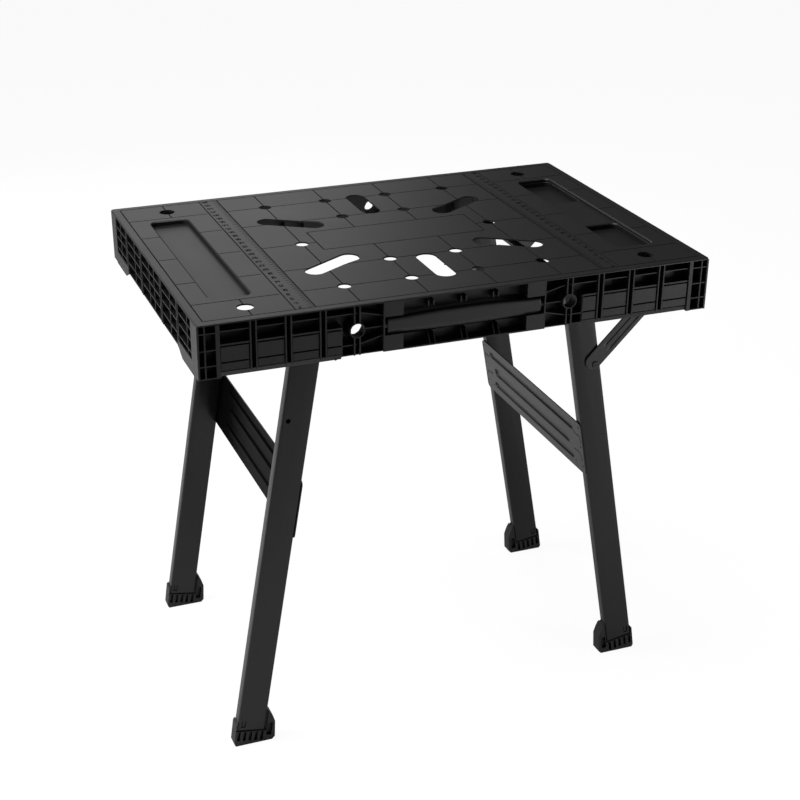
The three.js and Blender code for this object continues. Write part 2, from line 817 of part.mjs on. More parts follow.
// Slotted plate that carries a leg pivot, drawn in XZ at the right end: its outward face is at a distance from
// the middle, and its upper edge steps down under a tray's pan, or else has a notch beside the corner hole
function guide(side, far, trayDepth) {
  const near = far - guideThickness;
  const underTray = near < trayLength / 2 + trayWall + clearance;
  const slotRadius = axleDiameter / 2 + bushWall + 2 * clearance;
  const reach = slotRadius + guideMargin;
  const from = pivotX - reach;
  const to = pivotX + slideTravel + reach;
  const low = pivotZ - reach;
  const trayUnder = benchHeight - trayDepth - trayWall;
  const trayEdge = trayX - trayWidth / 2 - trayWall - clearance;
  const notchX = halfLength - cornerHoleEndInset - guideNotchShift;
  const notchHalf = cornerHoleDiameter / 2 + guideNotchMargin;
  const notchZ = deckBottom - guideNotchDepth;
  const upperEdge = underTray
    ? [[to, trayUnder], [trayEdge, trayUnder], [trayEdge, deckBottom]]
    : [
      [to, deckBottom],
      [notchX + notchHalf, deckBottom], [notchX + notchHalf, notchZ],
      [notchX - notchHalf, notchZ], [notchX - notchHalf, deckBottom],
    ];
  const shape = outline([[from, low], [to, low], ...upperEdge, [from, deckBottom]]);
  const slot = new THREE.Path();
  slot.absarc(pivotX, pivotZ, slotRadius, Math.PI / 2, Math.PI * 1.5);
  slot.absarc(pivotX + slideTravel, pivotZ, slotRadius, -Math.PI / 2, Math.PI / 2);
  shape.holes.push(slot);
  return plateAcross(shape, side * near, side * far);
}

// Flanged plastic bush on a leg pivot, turned about the pivot, seated in a guide between two faces
function bush(yMiddle) {
  const inner = axleDiameter / 2 + clearance;
  const outer = inner + bushWall;
  const rim = outer + bushFlange;
  const seat = guideThickness / 2 + clearance;
  const end = seat + bushFlangeThickness;
  const profile = [
    [inner, -end], [rim, -end], [rim, -seat], [outer, -seat], [outer, seat], [rim, seat], [rim, end], [inner, end],
    [inner, -end],
  ];
  const points = profile.map(([r, y]) => new THREE.Vector2(r, y));
  return new THREE.LatheGeometry(points, pinSides).translate(pivotX, yMiddle, pivotZ);
}

// Rectangular leg tube below its pivot, drilled for the pivot and for a strut rivet, with a snap window in both
// faces for the foot's tongue
function legTube() {
  const length = (pivotZ - tubeEndHeight) / Math.cos(legTilt);
  const shape = roundedRectangle(legWidth, legDepth, legCornerRadius);
  const bore = roundedRectangle(legWidth - 2 * legWall, legDepth - 2 * legWall, legCornerRadius - legWall);
  shape.holes.push(bore);
  const tube = solidOf(alongZ(shape, -length, legOverrun, tubeCornerSteps));
  const pivotHole = rodY(axleDiameter + 2 * clearance, 0, 0, -legDepth, legDepth, pinSides);
  const rivetHole = rodY(rivetDiameter, strutOffLeg, -strutAlongLeg, -legDepth, legDepth, holeSides);
  const snapHole = snapBlock(snapWidth, snapHeight, legDepth).translate(0, 0, -length);
  return geometryOf(cutBy(tube, [pivotHole, rivetHole, solidOf(snapHole)]));
}

// Plastic foot at the right end: sole, heel, toe lip and a plug inside the tube, drawn in XZ
function foot() {
  const tubeEnd = (pivotZ - tubeEndHeight) / Math.cos(legTilt);
  const half = legWidth / 2 + clearance;
  const along = (z, across) => (pivotZ - z + across * legAcross.y) / -legAxis.y;
  const place = (z, across) => onLeg(along(z, across), across);
  const innerEnd = onLeg(tubeEnd + clearance, -half);
  const outerEnd = onLeg(tubeEnd + clearance, half);
  const heelTop = place(heelHeight, -half);
  const toeTop = place(toeHeight, half);
  const heelFloor = floorAxisX - heelReach;
  const toeFloor = floorAxisX + toeReach;
  const bulgeX = heelFloor - heelBulge + soleChamfer / 2;
  const shape = new THREE.Shape();
  shape.moveTo(heelFloor, 0);
  shape.lineTo(toeFloor - soleChamfer / 2, 0);
  shape.lineTo(toeFloor, soleChamfer);
  shape.lineTo(toeTop.x + toeProud, toeHeight - toeProud);
  shape.lineTo(toeTop.x, toeHeight);
  shape.lineTo(outerEnd.x, outerEnd.y);
  shape.lineTo(innerEnd.x, innerEnd.y);
  shape.lineTo(heelTop.x, heelTop.y);
  shape.quadraticCurveTo(bulgeX + soleChamfer, heelHeight - soleChamfer, bulgeX, heelHeight / 2 + soleChamfer);
  shape.lineTo(heelFloor - soleChamfer, soleChamfer);
  const sole = solidOf(alongY(shape, -footDepth / 2, footDepth / 2));
  const inside = 2 * (legWall + clearance);
  const plugOutline = roundedRectangle(legWidth - inside, legDepth - inside, legCornerRadius - legWall);
  const plug = alongZ(plugOutline, -2 * clearance, plugLength, tubeCornerSteps);
  plug.rotateY(-legTilt);
  const plugFoot = onLeg(tubeEnd, 0);
  plug.translate(plugFoot.x, 0, plugFoot.y);
  const tongue = snapBlock(snapWidth - 2 * snapGap, snapHeight - snapGap - clearance, legDepth / 2 - snapSunk);
  tongue.translate(0, 0, (snapGap - clearance) / 2);
  tongue.rotateY(-legTilt);
  tongue.translate(plugFoot.x, 0, plugFoot.y);
  return cutBy(joined([sole, solidOf(plug), solidOf(tongue)]), footSlots(tubeEnd));
}

// Block across a leg at its snap windows, above the end of the tube
function snapBlock(width, height, reach) {
  return new THREE.BoxGeometry(width, 2 * reach, height).translate(legWidth / 2 - snapInset, 0, snapRise);
}

// Sunk marks on both faces of a foot, in line with the leg: upright grip slots, a wide slot in the heel, and a
// narrow groove that sets the foot off from the end and the inward side of the tube
function footSlots(tubeEnd) {
  const cutters = [];
  const sink = (along, across, width, length, depth) => {
    for (const side of bothSigns) {
      const geometry = new THREE.BoxGeometry(width, 2 * depth, length);
      geometry.rotateY(-legTilt);
      const place = onLeg(along, across);
      geometry.translate(place.x, side * footDepth / 2, place.y);
      cutters.push(solidOf(geometry));
    }
  };
  const middle = tubeEnd + footSlotDrop + footSlotLength / 2;
  for (let i = 0; i < footSlotCount; i += 1) {
    const across = (i - (footSlotCount - 1) / 2) * footSlotPitch;
    sink(middle, across, footSlotWidth, footSlotLength, footSlotDepth);
  }
  sink(tubeEnd, -heelSlotOffset, heelSlotWidth, heelSlotLength, footSlotDepth);
  sink(tubeEnd + revealHeight / 2, 0, legWidth + 2 * revealHeight, revealHeight, revealDepth);
  const heelTop = tubeEnd - heelHeight / 2;
  sink(heelTop + revealHeight, -(legWidth + revealHeight) / 2, revealHeight, heelHeight, revealDepth);
  return cutters;
}

// Pressed plate across the inward faces of a leg pair, in the frame of the leg below its pivot: long beads are
// sunk in its inward face and stand out from its other face, short enough to clear the legs of the narrow pair
function brace(halfSpan) {
  const top = -(pivotZ - braceTopHeight - legAcross.y * legWidth / 2) / Math.cos(legTilt);
  const face = -legWidth / 2 - clearance;
  const inward = face - braceThickness;
  const plate = alongX(roundedRectangle(2 * halfSpan, braceWidth, braceCornerRadius), inward, face);
  plate.translate(0, 0, top - braceWidth / 2);
  const solids = [solidOf(plate)];
  const hollows = [];
  for (const { drop, width, endMargin } of braceBeads) {
    const length = 2 * (rightPairHalfWidth - endMargin);
    const swell = alongX(roundEnded(length, width), inward, face + beadDepth);
    const inside = roundEnded(length - 2 * beadWall, width - 2 * beadWall);
    const hollow = alongX(inside, inward - beadDepth, inward + beadDepth);
    solids.push(solidOf(swell.translate(0, 0, top - drop)));
    hollows.push(solidOf(hollow.translate(0, 0, top - drop)));
  }
  return geometryOf(cutBy(joined(solids), hollows));
}

// Flat strut with round ends, drawn from its bracket pivot towards the leg
function strut() {
  const radius = strutWidth / 2;
  const rivetRun = Math.sqrt(strutSpan ** 2 - strutRivetOffset ** 2);
  const shape = new THREE.Shape();
  shape.absarc(0, 0, radius, Math.PI / 2, Math.PI * 1.5);
  shape.absarc(rivetRun - strutRivetPast, 0, radius, -Math.PI / 2, Math.PI / 2);
  const hole = (x, y) => new THREE.Path().absarc(x, y, rivetDiameter / 2 + clearance, 0, Math.PI * 2);
  shape.holes.push(hole(0, 0), hole(rivetRun, strutRivetOffset));
  return plateAcross(shape, -strutThickness / 2, strutThickness / 2);
}

// Direction of the strut's centre line in XZ, seen from its bracket pivot
function strutAngle() {
  const span = strutRivet.clone().sub(strutPivot);
  return Math.atan2(span.y, span.x) - Math.asin(strutRivetOffset / strutSpan);
}

// Rivet or headed pin along Y: its shank has a signed length and its head lies past the end of the shank
function headedPin(shankLength) {
  const outward = Math.sign(shankLength);
  const headEnd = shankLength + outward * rivetHeadThickness;
  const profile = [
    [0, 0],
    [rivetDiameter / 2, 0],
    [rivetDiameter / 2, shankLength],
    [rivetHeadDiameter / 2, shankLength],
    [rivetHeadDiameter / 2 - rivetHeadThickness / 2, headEnd],
    [0, headEnd],
  ];
  const points = profile.map(([r, y]) => new THREE.Vector2(r, y));
  return new THREE.LatheGeometry(outward > 0 ? points : points.reverse(), pinSides);
}

// Plate hanging from the deck that carries a strut pivot
function bracket(side, near, far) {
  const half = bracketWidth / 2;
  const hangInner = Math.max(trayX + trayWidth / 2 + trayWall + clearance, strutPivot.x - half);
  const trayUnder = benchHeight - pocketDepth - trayWall - clearance;
  const shape = new THREE.Shape();
  shape.moveTo(strutPivot.x + half, strutPivot.y);
  shape.lineTo(strutPivot.x + half - clearance, deckBottom);
  shape.lineTo(hangInner, deckBottom);
  shape.lineTo(hangInner, trayUnder);
  shape.lineTo(strutPivot.x - half, strutPivot.y);
  shape.absarc(strutPivot.x, strutPivot.y, half, Math.PI, Math.PI * 2);
  const hole = new THREE.Path().absarc(strutPivot.x, strutPivot.y, rivetDiameter / 2 + clearance, 0, Math.PI * 2);
  shape.holes.push(hole);
  return plateAcross(shape, side * near, side * far);
}

// Strut, its rivet, bracket and pivot pin on the outward face of one leg, at a distance from the middle
function strutSet(label, side, faceDistance) {
  const near = faceDistance + clearance;
  const far = near + strutThickness;
  const plate = mesh(`${label}_strut`, strut(), pressedSteel);
  plate.position.set(strutPivot.x, side * (near + far) / 2, strutPivot.y);
  plate.rotation.y = -strutAngle();
  const rivetPin = headedPin(side * strutThickness);
  const rivet = mesh(`${label}_strut_rivet`, rivetPin, plainSteel);
  rivet.position.set(strutRivet.x, side * near, strutRivet.y);
  const plateNear = far + clearance;
  const plateFar = plateNear + bracketThickness;
  const hanger = mesh(`${label}_strut_bracket`, bracket(side, plateNear, plateFar), paintedSteel);
  const pin = mesh(`${label}_strut_pin`, headedPin(side * (plateFar - near)), plainSteel);
  pin.position.set(strutPivot.x, side * near, strutPivot.y);
  return [plate, rivet, hanger, pin];
}

// Legs, brace and feet of one pair, built for the right end
function legPair(names, halfWidthOfPair) {
  const group = new THREE.Group();
  const middle = halfWidthOfPair - legDepth / 2;
  names.forEach((label, i) => {
    const y = bothSigns[i] * middle;
    const leg = mesh(`${label}_leg`, legTube(), paintedSteel);
    leg.position.set(pivotX, y, pivotZ);
    leg.rotation.y = -legTilt;
    const shoe = mesh(`${label}_foot`, geometryOf(foot()), footRubber);
    shoe.position.y = y;
    group.add(leg, shoe);
  });
  return group;
}

function braceMesh(name, halfSpan) {
  const plate = mesh(name, brace(halfSpan), pressedSteel);
  plate.position.set(pivotX, 0, pivotZ);
  plate.rotation.y = -legTilt;
  return plate;
}

// Narrow pair at the right: cross axle, guides between the legs, struts on the outward leg faces
function rightEnd() {
  const group = legPair(['right_front', 'right_rear'], rightPairHalfWidth);
  group.add(braceMesh('right_brace', rightPairHalfWidth));
  const axleHalf = rightPairHalfWidth - clearance;
  group.add(mesh('right_axle', geometryOf(rodY(axleDiameter, pivotX, pivotZ, -axleHalf, axleHalf)), plainSteel));
  ['right_front', 'right_rear'].forEach((label, i) => {
    const side = bothSigns[i];
    group.add(mesh(`${label}_guide`, guide(side, rightGuideFar, pocketDepth), blackPlastic));
    group.add(mesh(`${label}_bush`, bush(side * (rightGuideFar - guideThickness / 2)), slidePlastic));
    group.add(...strutSet(label, side, rightPairHalfWidth));
  });
  return group;
}

// Wide pair at the left: built as for the right end and turned round, with stub pins in place of an axle so that
// the narrow pair can lie between its legs, and one strut, on the rear leg
function leftEnd() {
  const group = legPair(['left_rear', 'left_front'], leftPairHalfWidth);
  group.add(braceMesh('left_brace', leftPairHalfWidth));
  const guideFar = leftPairHalfWidth - legDepth - leftGuideGap;
  const guideNear = guideFar - guideThickness;
  const pinFrom = guideNear - 2 * clearance - bushFlangeThickness;
  ['left_rear', 'left_front'].forEach((label, i) => {
    const side = bothSigns[i];
    group.add(mesh(`${label}_guide`, guide(side, guideFar, leftTrayDepth), blackPlastic));
    group.add(mesh(`${label}_bush`, bush(side * (guideNear + guideThickness / 2)), slidePlastic));
    const ends = [side * pinFrom, side * (leftPairHalfWidth - clearance)].sort((a, b) => a - b);
    const pin = mesh(`${label}_pin`, geometryOf(rodY(axleDiameter, pivotX, pivotZ, ...ends)), plainSteel);
    group.add(pin);
  });
  group.add(...strutSet('left_rear', bothSigns[0], leftPairHalfWidth));
  group.rotation.z = Math.PI;
  return group;
}

function top() {
  const group = new THREE.Group();
  group.add(mesh('deck', geometryOf(deck()), blackPlastic));
  group.add(mesh('front_left_apron', geometryOf(frontApron(-1)), blackPlastic));
  group.add(mesh('front_right_apron', geometryOf(frontApron(1)), blackPlastic));
  group.add(mesh('handle_recess', geometryOf(handleRecess()), blackPlastic));
  group.add(mesh('handle', geometryOf(handle()), gripPlastic));
  const rear = mesh('rear_apron', geometryOf(rearApron()), blackPlastic);
  rear.rotation.z = Math.PI;
  const endWall = geometryOf(endApron());
  const right = mesh('right_end_apron', endWall, blackPlastic);
  const left = mesh('left_end_apron', endWall.clone(), blackPlastic);
  left.rotation.z = Math.PI;
  group.add(rear, right, left);
  return group;
}

const bench = new THREE.Group();
bench.add(top(), rightEnd(), leftEnd());

export default bench;
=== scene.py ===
import math

import bmesh
import bpy
import numpy as np
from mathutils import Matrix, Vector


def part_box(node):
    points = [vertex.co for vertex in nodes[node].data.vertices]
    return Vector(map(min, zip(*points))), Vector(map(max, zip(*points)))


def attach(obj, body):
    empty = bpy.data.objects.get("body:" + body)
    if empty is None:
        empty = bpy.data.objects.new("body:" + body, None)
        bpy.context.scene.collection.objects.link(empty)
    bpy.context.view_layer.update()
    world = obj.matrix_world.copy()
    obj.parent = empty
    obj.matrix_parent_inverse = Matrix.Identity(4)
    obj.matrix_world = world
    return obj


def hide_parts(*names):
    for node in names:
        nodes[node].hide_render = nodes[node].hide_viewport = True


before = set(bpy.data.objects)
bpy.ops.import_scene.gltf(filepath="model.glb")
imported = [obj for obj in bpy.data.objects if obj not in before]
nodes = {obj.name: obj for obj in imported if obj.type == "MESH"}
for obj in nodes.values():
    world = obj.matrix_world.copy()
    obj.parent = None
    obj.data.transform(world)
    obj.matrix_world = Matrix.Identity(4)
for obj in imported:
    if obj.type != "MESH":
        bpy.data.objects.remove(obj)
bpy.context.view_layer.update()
mm = 0.001
print("frame loaded with", len(nodes), "nodes")


# ---- shared mesh making
def ringSkin(rings):
    # a closed skin through rings of points: ring i is linked to ring i + 1 by quads, and both end rings are capped
    rings = np.asarray(rings, float)
    count, size = rings.shape[:2]
    i, j = np.meshgrid(np.arange(count - 1), np.arange(size), indexing="ij")
    here = i * size + j
    beside = i * size + (j + 1) % size
    quads = np.stack([here, beside, beside + size, here + size], -1).reshape(-1, 4)
    last = (count - 1) * size
    caps = [list(range(size))[::-1], list(range(last, last + size))]
    return rings.reshape(-1, 3), quads.tolist() + caps


def joinSkins(skins):
    # several skins as one: faces are renumbered by the points before them
    starts = np.cumsum([0] + [len(points) for points, faces in skins])
    points = np.vstack([points for points, faces in skins])
    faces = [[v + int(start) for v in face] for (p, fs), start in zip(skins, starts) for face in fs]
    return points, faces


def meshObject(name, skin):
    points, faces = skin
    mesh = bpy.data.meshes.new(name)
    mesh.from_pydata(points, [], faces)
    work = bmesh.new()
    work.from_mesh(mesh)
    bmesh.ops.recalc_face_normals(work, faces=work.faces)
    work.to_mesh(mesh)
    work.free()
    obj = bpy.data.objects.new(name, mesh)
    bpy.context.scene.collection.objects.link(obj)
    return obj


def shadeBy(obj, degrees):
    # smooth shading that breaks at edges sharper than an angle
    obj.data.polygons.foreach_set("use_smooth", np.ones(len(obj.data.polygons), bool))
    obj.data.set_sharp_from_angle(angle=math.radians(degrees))
    obj.data.update()


def settleModifiers(obj):
    # makes the modified shape the object's own mesh
    shape = bpy.data.meshes.new_from_object(obj.evaluated_get(bpy.context.evaluated_depsgraph_get()))
    obj.modifiers.clear()
    obj.data = shape


def cutOut(obj, cutterSkin, material):
    # cuts a shape away, and gives the cut faces a material
    cutter = meshObject("cutter", cutterSkin)
    cutter.data.materials.append(material)
    step = obj.modifiers.new("cut", "BOOLEAN")
    step.object = cutter
    step.operation = "DIFFERENCE"
    step.solver = "EXACT"
    step.use_self = True
    step.material_mode = "TRANSFER"
    settleModifiers(obj)
    bpy.data.objects.remove(cutter)


def solidCopy(name, node, material):
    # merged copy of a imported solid, with flat faces joined up again
    mesh = bpy.data.meshes.new(name)
    work = bmesh.new()
    work.from_mesh(nodes[node].data)
    bmesh.ops.remove_doubles(work, verts=work.verts, dist=0.002 * mm)
    bmesh.ops.dissolve_limit(work, angle_limit=math.radians(0.6), verts=work.verts, edges=work.edges)
    work.to_mesh(mesh)
    work.free()
    for carried in [a.name for a in mesh.attributes if a.name in ("custom_normal", "sharp_edge", "sharp_face")]:
        mesh.attributes.remove(mesh.attributes[carried])
    mesh.materials.append(material)
    obj = bpy.data.objects.new(name, mesh)
    bpy.context.scene.collection.objects.link(obj)
    return obj


def settlePiece(obj, body, replaced):
    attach(obj, body)
    for node in replaced:
        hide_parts(node)
    return obj


def softened(node, material, body, edge, clamp=False, smoothAngle=32):
    # copy of a solid whose sharp edges get a small rounding
    obj = solidCopy(node + "Soft", node, material)
    shadeBy(obj, smoothAngle)
    rounding = obj.modifiers.new("edges", "BEVEL")
    rounding.width = edge * mm
    rounding.segments = 2
    rounding.limit_method = "ANGLE"
    rounding.angle_limit = math.radians(smoothAngle)
    rounding.use_clamp_overlap = clamp
    rounding.harden_normals = True
    settleModifiers(obj)
    return settlePiece(obj, body, [node])


# ---- finishes
def nodeGroup(name, inputs, outputs):
    group = bpy.data.node_groups.new(name, "ShaderNodeTree")
    for label, kind, value in inputs:
        socket = group.interface.new_socket(label, in_out="INPUT", socket_type=kind)
        socket.default_value = value
    for label, kind in outputs:
        group.interface.new_socket(label, in_out="OUTPUT", socket_type=kind)
    return group, group.nodes.new("NodeGroupInput"), group.nodes.new("NodeGroupOutput")


def grainGroup():
    # fine moulded or painted grain: height of small noise, and a slow mottle between 0 and 1
    inputs = [("Grain Size", "NodeSocketFloat", 900.0), ("Mottle Size", "NodeSocketFloat", 9.0)]
    outputs = [("Height", "NodeSocketFloat"), ("Mottle", "NodeSocketFloat")]
    group, given, result = nodeGroup("surfaceGrain", inputs, outputs)
    place = group.nodes.new("ShaderNodeTexCoord")
    for label, outLabel, detail in (("Grain Size", "Height", 3.0), ("Mottle Size", "Mottle", 4.0)):
        noise = group.nodes.new("ShaderNodeTexNoise")
        noise.inputs["Detail"].default_value = detail
        group.links.new(place.outputs["Object"], noise.inputs["Vector"])
        group.links.new(given.outputs[label], noise.inputs["Scale"])
        group.links.new(noise.outputs["Fac"], result.inputs[outLabel])
    return group


def tintGroup():
    # colour and roughness that drift a little with a mottle
    inputs = [
        ("Mottle", "NodeSocketFloat", 0.5),
        ("Color", "NodeSocketColor", (0.02, 0.02, 0.02, 1)),
        ("Drift", "NodeSocketFloat", 0.15),
        ("Roughness", "NodeSocketFloat", 0.5),
        ("Roughness Drift", "NodeSocketFloat", 0.06),
    ]
    outputs = [("Color", "NodeSocketColor"), ("Roughness", "NodeSocketFloat")]
    group, given, result = nodeGroup("driftingTint", inputs, outputs)
    centred = group.nodes.new("ShaderNodeMath")
    centred.operation = "SUBTRACT"
    centred.inputs[1].default_value = 0.5
    group.links.new(given.outputs["Mottle"], centred.inputs[0])
    gain = group.nodes.new("ShaderNodeMath")
    gain.operation = "MULTIPLY_ADD"
    gain.inputs[2].default_value = 1.0
    group.links.new(centred.outputs[0], gain.inputs[0])
    group.links.new(given.outputs["Drift"], gain.inputs[1])
    scaled = group.nodes.new("ShaderNodeVectorMath")
    scaled.operation = "SCALE"
    group.links.new(given.outputs["Color"], scaled.inputs[0])
    group.links.new(gain.outputs[0], scaled.inputs["Scale"])
    group.links.new(scaled.outputs[0], result.inputs["Color"])
    rough = group.nodes.new("ShaderNodeMath")
    rough.operation = "MULTIPLY_ADD"
    group.links.new(centred.outputs[0], rough.inputs[0])
    group.links.new(given.outputs["Roughness Drift"], rough.inputs[1])
    group.links.new(given.outputs["Roughness"], rough.inputs[2])
    group.links.new(rough.outputs[0], result.inputs["Roughness"])
    return group


surfaceGrain = grainGroup()
driftingTint = tintGroup()

finishes = {
    "mouldedBlack": {"color": (0.012, 0.012, 0.0122), "rough": 0.42, "grain": 1100, "bump": 0.10, "metal": 0.0, "shine": 0.5},
    "deckBlack": {"color": (0.014, 0.014, 0.0142), "rough": 0.42, "grain": 1300, "bump": 0.10, "metal": 0.0, "shine": 0.5},
    # painted shade: a near-black copy of the deck black for the inside of the engraved lines and ruler marks
    "paintedGrooveShade": {"color": (0.004, 0.004, 0.004), "rough": 0.7, "grain": 1300, "bump": 0.05, "metal": 0.0, "shine": 0.2},
    # painted shade: a darker, rougher copy of the moulded black, laid on the walls of holes, slots, trays, ring bores
    # and deep bays
    "paintedRecessShade": {"color": (0.006, 0.006, 0.0061), "rough": 0.6, "grain": 1300, "bump": 0.05, "metal": 0.0, "shine": 0.25},
    "gripBlack": {"color": (0.021, 0.021, 0.0212), "rough": 0.42, "grain": 900, "bump": 0.05, "metal": 0.0, "shine": 0.5},
    "slideBlack": {"color": (0.024, 0.025, 0.026), "rough": 0.45, "grain": 900, "bump": 0.03, "metal": 0.0, "shine": 0.5},
    "tubePaint": {"color": (0.008, 0.008, 0.0082), "rough": 0.30, "grain": 1500, "bump": 0.04, "metal": 0.0, "shine": 0.5},
    "sheetPaint": {"color": (0.009, 0.009, 0.0092), "rough": 0.30, "grain": 1500, "bump": 0.04, "metal": 0.0, "shine": 0.5},
    # painted shade: a darker, almost unshiny copy of the sheet paint for the braces' outward faces
    "paintedShadeSheetBack": {"color": (0.002, 0.002, 0.002), "rough": 0.30, "grain": 1500, "bump": 0.04, "metal": 0.0, "shine": 0.016},
    "strutPaint": {"color": (0.030, 0.030, 0.0305), "rough": 0.36, "grain": 1500, "bump": 0.04, "metal": 0.0, "shine": 0.5},
    "platedSteel": {"color": (0.05, 0.05, 0.052), "rough": 0.35, "grain": 700, "bump": 0.02, "metal": 1.0, "shine": 0.5},
    "footBlack": {"color": (0.010, 0.010, 0.0102), "rough": 0.50, "grain": 800, "bump": 0.08, "metal": 0.0, "shine": 0.5},
}


def finishMaterial(name):
    look = finishes[name]
    material = bpy.data.materials.new(name)
    material.use_nodes = True
    tree = material.node_tree
    shader = tree.nodes["Principled BSDF"]
    shader.inputs["Metallic"].default_value = look["metal"]
    shader.inputs["Specular IOR Level"].default_value = look["shine"]
    grain = tree.nodes.new("ShaderNodeGroup")
    grain.node_tree = surfaceGrain
    grain.inputs["Grain Size"].default_value = look["grain"]
    tint = tree.nodes.new("ShaderNodeGroup")
    tint.node_tree = driftingTint
    tint.inputs["Color"].default_value = (*look["color"], 1)
    tint.inputs["Roughness"].default_value = look["rough"]
    bump = tree.nodes.new("ShaderNodeBump")
    bump.inputs["Strength"].default_value = look["bump"]
    bump.inputs["Distance"].default_value = 0.3 * mm
    tree.links.new(grain.outputs["Mottle"], tint.inputs["Mottle"])
    tree.links.new(tint.outputs["Color"], shader.inputs["Base Color"])
    tree.links.new(tint.outputs["Roughness"], shader.inputs["Roughness"])
    tree.links.new(grain.outputs["Height"], bump.inputs["Height"])
    tree.links.new(bump.outputs["Normal"], shader.inputs["Normal"])
    return material


materials = {name: finishMaterial(name) for name in finishes}
print("finishes made:", len(materials))


# ---- deck: drilled and engraved moulding
def circleLine(x, y, radius, grow, count=48):
    turn = np.linspace(0, 2 * math.pi, count, endpoint=False)
    return np.stack([x + (radius + grow) * np.cos(turn), y + (radius + grow) * np.sin(turn)], -1)


def roundedLine(x, y, length, width, radius, turn, grow, steps=12):
    # rounded rectangle with quarter arcs at its corners, turned about its middle and grown outwards
    arc = np.linspace(0, math.pi / 2, steps)
    corners = []
    for quarter, (sx, sy) in enumerate([(1, 1), (-1, 1), (-1, -1), (1, -1)]):
        angle = arc + quarter * math.pi / 2
        cornerX = sx * (length / 2 - radius) + (radius + grow) * np.cos(angle)
        cornerY = sy * (width / 2 - radius) + (radius + grow) * np.sin(angle)
        corners.append(np.stack([cornerX, cornerY], -1))
    flat = np.vstack(corners)
    c, s = math.cos(turn), math.sin(turn)
    return np.stack([x + flat[:, 0] * c - flat[:, 1] * s, y + flat[:, 0] * s + flat[:, 1] * c], -1)


def raised(line, z):
    return np.column_stack([line, np.full(len(line), z)])


def shaft(lineAt, floor, top, chamfer):
    # upright cutter: straight wall from its floor up to a flared rim just above the surface
    grown = [(floor, 0.06), (top - chamfer, 0.06), (top + 0.5, chamfer + 0.56)]
    return ringSkin([raised(lineAt(grow), z) * mm for z, grow in grown])


def groove(start, end, width, depth, top):
    # V-shaped cutter along a straight line on the surface
    start, end = np.array(start, float), np.array(end, float)
    along = (end - start) / np.linalg.norm(end - start)
    across = np.array([along[1], -along[0]])
    profile = [(-0.5, 0.0), (0.0, -depth), (0.5, 0.0), (0.5, 0.6), (-0.5, 0.6)]
    rings = [[np.append(place + across * a * width, top + dz) for a, dz in profile] for place in (start, end)]
    return ringSkin(np.array(rings) * mm)


deckSizes = {
    "dogRadius": 10.3,
    "cornerRadius": 13.05,
    "holeChamfer": 0.9,
    "cornerChamfer": 0.3,
    "slotWidth": 33,
    "trayWidth": 65,
    "slotChamfer": 0.5,
    "trayChamfer": 1.8,
    "rimLine": (411, 285),
    "lineWidth": 2.2,
    "lineDepth": 1.2,
    "markWidth": 1.5,
    "markDepth": 0.8,
    "figureWidth": 1.9,
    "figureDepth": 1.3,
    "centrePanel": (143, -40, 55),
    "rulerLines": (269.5, 237.5),
    "rulerTicks": (247, 237.5),
    "labelX": 260.7,
    "labelStep": 20,
    "labelReach": 280,
    "digitSize": (3.3, 8.0),
    "digitGap": 1.9,
}


dogHoles = [(x, y) for x in (-168, -57, 57, 168) for y in (-214, 214)]
dogHoles += [(x, y) for x in (-57, 57) for y in (-118, 118)] + [(-168, 0), (168, 0)]
cornerHoles = [(x, y) for x in (-336, 336) for y in (-248, 248)]
slotTilt = math.radians(32.5)
clampSlots = [(0, side * 172.5, 115, math.pi / 2) for side in (-1, 1)]
clampSlots += [(sx * 153.3, sy * 111, 117, sx * sy * slotTilt) for sx in (-1, 1) for sy in (-1, 1)]
trays = [(-344.5, 0, 400, 8), (344.5, 0, 400, 5), (344.5, 134, 132, 14.5), (344.5, -134, 132, 14.5)]


def deckShafts(top):
    s = deckSizes
    cutters = []
    for x, y in dogHoles:
        cutters.append(shaft(lambda g: circleLine(x, y, s["dogRadius"], g), 750, top, s["holeChamfer"]))
    for x, y in cornerHoles:
        cutters.append(shaft(lambda g: circleLine(x, y, s["cornerRadius"], g), 770, top, s["cornerChamfer"]))
    half = s["slotWidth"] / 2
    for x, y, length, turn in clampSlots:
        line = lambda g: roundedLine(x, y, length, s["slotWidth"], 0.98 * half, turn, g, 16)
        cutters.append(shaft(line, 750, top, s["slotChamfer"]))
    return cutters


def trayCutters(top):
    s = deckSizes
    cutters = []
    for x, y, length, depth in trays:
        line = lambda g: roundedLine(x, y, s["trayWidth"], length, 12, 0, g)
        rim = top if depth != 14.5 else top - 5
        cutters.append(shaft(line, top - depth - 0.05, rim, s["trayChamfer"]))
    return cutters


def clearOfCuts(points):
    # true where a point of the surface lies outside every hole, slot and tray
    s = deckSizes
    clear = np.ones(len(points), bool)
    for radius, places in ((s["dogRadius"], dogHoles), (s["cornerRadius"], cornerHoles)):
        for place in places:
            clear &= np.hypot(*(points - place).T) > radius + 0.6
    for x, y, length, turn in clampSlots:
        offset = points - (x, y)
        along = offset @ (math.cos(turn), math.sin(turn))
        across = offset @ (-math.sin(turn), math.cos(turn))
        past = np.maximum(np.abs(along) - (length - s["slotWidth"]) / 2, 0)
        clear &= np.hypot(past, across) > s["slotWidth"] / 2 + 0.4
    for x, y, length, depth in trays:
        clear &= (np.abs(points[:, 0] - x) > s["trayWidth"] / 2 + 0.6) | (np.abs(points[:, 1] - y) > length / 2 + 0.6)
    return clear


def clippedLines(lines):
    # each line is walked in small steps, and the runs that are clear of the cut-outs are kept
    kept = []
    for start, end in lines:
        start, end = np.array(start, float), np.array(end, float)
        steps = np.linspace(0, 1, int(np.linalg.norm(end - start) * 5) + 2)[:, None]
        points = start + (end - start) * steps
        edges = np.diff(np.concatenate([[0], clearOfCuts(points).astype(int), [0]]))
        for a, b in zip(np.flatnonzero(edges == 1), np.flatnonzero(edges == -1) - 1):
            if b - a > 10:
                kept.append((points[a], points[b]))
    return kept


